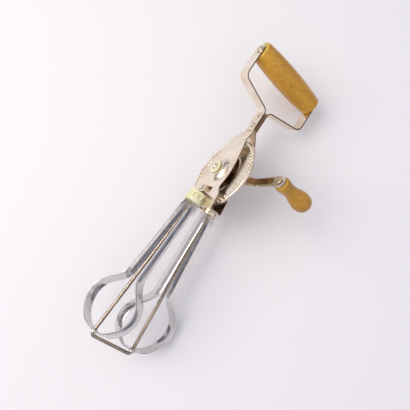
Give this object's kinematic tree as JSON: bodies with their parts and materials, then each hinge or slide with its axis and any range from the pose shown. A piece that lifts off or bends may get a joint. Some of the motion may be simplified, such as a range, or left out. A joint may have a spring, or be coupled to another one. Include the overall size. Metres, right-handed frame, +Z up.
{
  "type": "rotary egg beater",
  "caption": "Hand-cranked rotary egg beater: wooden grip in bent straps, beaded drive wheel with crank and knob, nylon pinions and ribbon dashers on a U-shaped guide wire.",
  "frame": {"origin": "middle of the flat underside of the guide wire's crossbar, at the bottom of the beater", "axes": "+Z up the beater from the crossbar to the grip, +Y along the wheel's axle from the front face to the crank side, +X to the side the crank arm points to"},
  "size_m": [0.0871, 0.0967, 0.2818],
  "materials": {
    "nickel_steel": "bright nickel plate on pressed steel sheet",
    "chrome": "bright chrome plate on steel strip",
    "wire_steel": "drawn and plated steel wire",
    "varnished_wood": "turned beech under amber varnish",
    "nylon": "moulded cream nylon, aged towards amber"
  },
  "bodies": {
    "frame": {"handle_grip": "varnished_wood", "grip_rod": "nickel_steel", "front_handle_strap": "nickel_steel", "rear_handle_strap": "nickel_steel", "front_frame_plate": "nickel_steel", "rear_frame_plate": "nickel_steel", "neck_rivet_upper": "nickel_steel", "neck_rivet_lower": "nickel_steel", "front_axle_bush": "nylon", "rear_axle_bush": "nickel_steel", "guide_wire": "wire_steel"},
    "wheel": {"drive_wheel": "nickel_steel", "wheel_axle": "nickel_steel", "front_axle_washer": "nickel_steel", "rear_axle_washer": "nickel_steel", "crank_arm": "nickel_steel", "crank_washer": "nickel_steel", "knob_rivet": "nickel_steel", "knob_washer": "nickel_steel"},
    "knob": {"crank_knob": "varnished_wood"},
    "front_rotor": {"front_dasher": "chrome", "front_dasher_eyelet": "chrome", "front_pinion": "nylon"},
    "rear_rotor": {"rear_dasher": "chrome", "rear_dasher_eyelet": "chrome", "rear_pinion": "nickel_steel"}
  },
  "joints": [
    {"name": "wheel_spin", "type": "hinge", "parent": "frame", "child": "wheel", "pos_m": [0, 0, 0.168], "axis": [0, 1, 0], "continuous": true},
    {"name": "front_dasher_spin", "type": "hinge", "parent": "frame", "child": "front_rotor", "pos_m": [0, -0.02005, 0.0015], "axis": [0, 0.0765, 0.9971], "continuous": true},
    {"name": "rear_dasher_spin", "type": "hinge", "parent": "frame", "child": "rear_rotor", "pos_m": [0, 0.02005, 0.0015], "axis": [0, -0.0765, 0.9971], "continuous": true},
    {"name": "knob_spin", "type": "hinge", "parent": "wheel", "child": "knob", "pos_m": [0.04465, 0.0211, 0.18097], "axis": [0, 1, 0], "continuous": true}
  ],
  "couplings": [
    {"joint": "front_dasher_spin", "follows": "wheel_spin", "ratio": 4.5455},
    {"joint": "rear_dasher_spin", "follows": "wheel_spin", "ratio": -4.5455}
  ]
}
